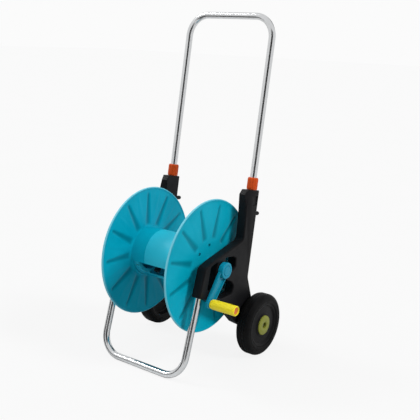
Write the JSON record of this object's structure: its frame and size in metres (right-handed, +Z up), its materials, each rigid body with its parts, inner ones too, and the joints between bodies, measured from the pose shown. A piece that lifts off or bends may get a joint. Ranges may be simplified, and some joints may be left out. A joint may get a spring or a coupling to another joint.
{
  "type": "hose reel cart",
  "caption": "Two-wheeled garden hose cart: cranked hose drum between side frames on a bent tube leg, with a tube handle that slides down into the frame posts.",
  "frame": {"origin": "on the ground, under the middle of the object's box", "axes": "+X towards the crank side, along the wheel axle and the drum's axis; +Y towards the wheels and the handle; +Z up"},
  "size_m": [0.4314, 0.409, 0.909],
  "materials": {
    "frame_plastic": "fine-grained moulded black",
    "chromed_tube": "bright chromed steel tube",
    "steel": "zinc-plated",
    "bush_plastic": "natural nylon",
    "fitting_plastic": "smooth black",
    "seal_rubber": "matt",
    "collar_plastic": "semi-gloss orange",
    "drum_plastic": "semi-gloss teal",
    "core_plastic": "semi-gloss light teal",
    "brass": "turned",
    "grip_plastic": "semi-gloss yellow",
    "cap_plastic": "orange brown",
    "wheel_plastic": "moulded black",
    "tyre_rubber": "matt black",
    "hub_cap_plastic": "olive yellow"
  },
  "bodies": {
    "frame": {"side_frame_left": "frame_plastic", "side_frame_right": "frame_plastic", "leg_tube": "chromed_tube", "leg_screws": "steel", "axle": "steel", "axle_washers": "steel", "accessory_pegs": "frame_plastic", "bush_left": "bush_plastic", "bush_right": "bush_plastic", "collet_left": "bush_plastic", "collet_right": "bush_plastic", "inlet_body": "fitting_plastic", "inlet_seals": "seal_rubber", "inlet_screws": "steel", "push_nut_left": "steel", "push_nut_right": "steel"},
    "collar_left": {"collar_left": "collar_plastic"},
    "collar_right": {"collar_right": "collar_plastic"},
    "handle": {"handle_tube": "chromed_tube", "handle_plugs": "fitting_plastic"},
    "drum": {"flange_left": "drum_plastic", "flange_right": "drum_plastic", "drum_core": "core_plastic", "drum_screws_left": "steel", "drum_screws_right": "steel", "water_spindle": "brass", "hose_outlet": "fitting_plastic", "drive_shaft": "steel", "crank_arm": "drum_plastic", "crank_screw": "steel", "crank_cap": "drum_plastic", "grip_pin": "steel"},
    "grip": {"crank_grip": "grip_plastic", "grip_cap": "cap_plastic"},
    "wheel_left": {"rim_left": "wheel_plastic", "tyre_left": "tyre_rubber", "hub_cap_left": "hub_cap_plastic"},
    "wheel_right": {"rim_right": "wheel_plastic", "tyre_right": "tyre_rubber", "hub_cap_right": "hub_cap_plastic"}
  },
  "joints": [
    {"name": "handle_slide", "type": "slide", "parent": "frame", "child": "handle", "axis": [0, 0.1461, 0.9893], "range_m": [-0.255, 0]},
    {"name": "collar_left_twist", "type": "hinge", "parent": "frame", "child": "collar_left", "pos_m": [-0.15625, 0.11165, 0.47032], "axis": [0, 0.1461, 0.9893], "range_deg": [-60, 0]},
    {"name": "collar_right_twist", "type": "hinge", "parent": "frame", "child": "collar_right", "pos_m": [0.11375, 0.11165, 0.47032], "axis": [0, 0.1461, 0.9893], "range_deg": [0, 60]},
    {"name": "drum_spin", "type": "hinge", "parent": "frame", "child": "drum", "pos_m": [-0.02125, -0.0295, 0.268], "axis": [1, 0, 0], "continuous": true},
    {"name": "grip_spin", "type": "hinge", "parent": "drum", "child": "grip", "pos_m": [0.17875, -0.08676, 0.19471], "axis": [1, 0, 0], "continuous": true},
    {"name": "wheel_left_spin", "type": "hinge", "parent": "frame", "child": "wheel_left", "pos_m": [-0.19475, 0.1195, 0.085], "axis": [1, 0, 0], "continuous": true},
    {"name": "wheel_right_spin", "type": "hinge", "parent": "frame", "child": "wheel_right", "pos_m": [0.15225, 0.1195, 0.085], "axis": [1, 0, 0], "continuous": true}
  ]
}
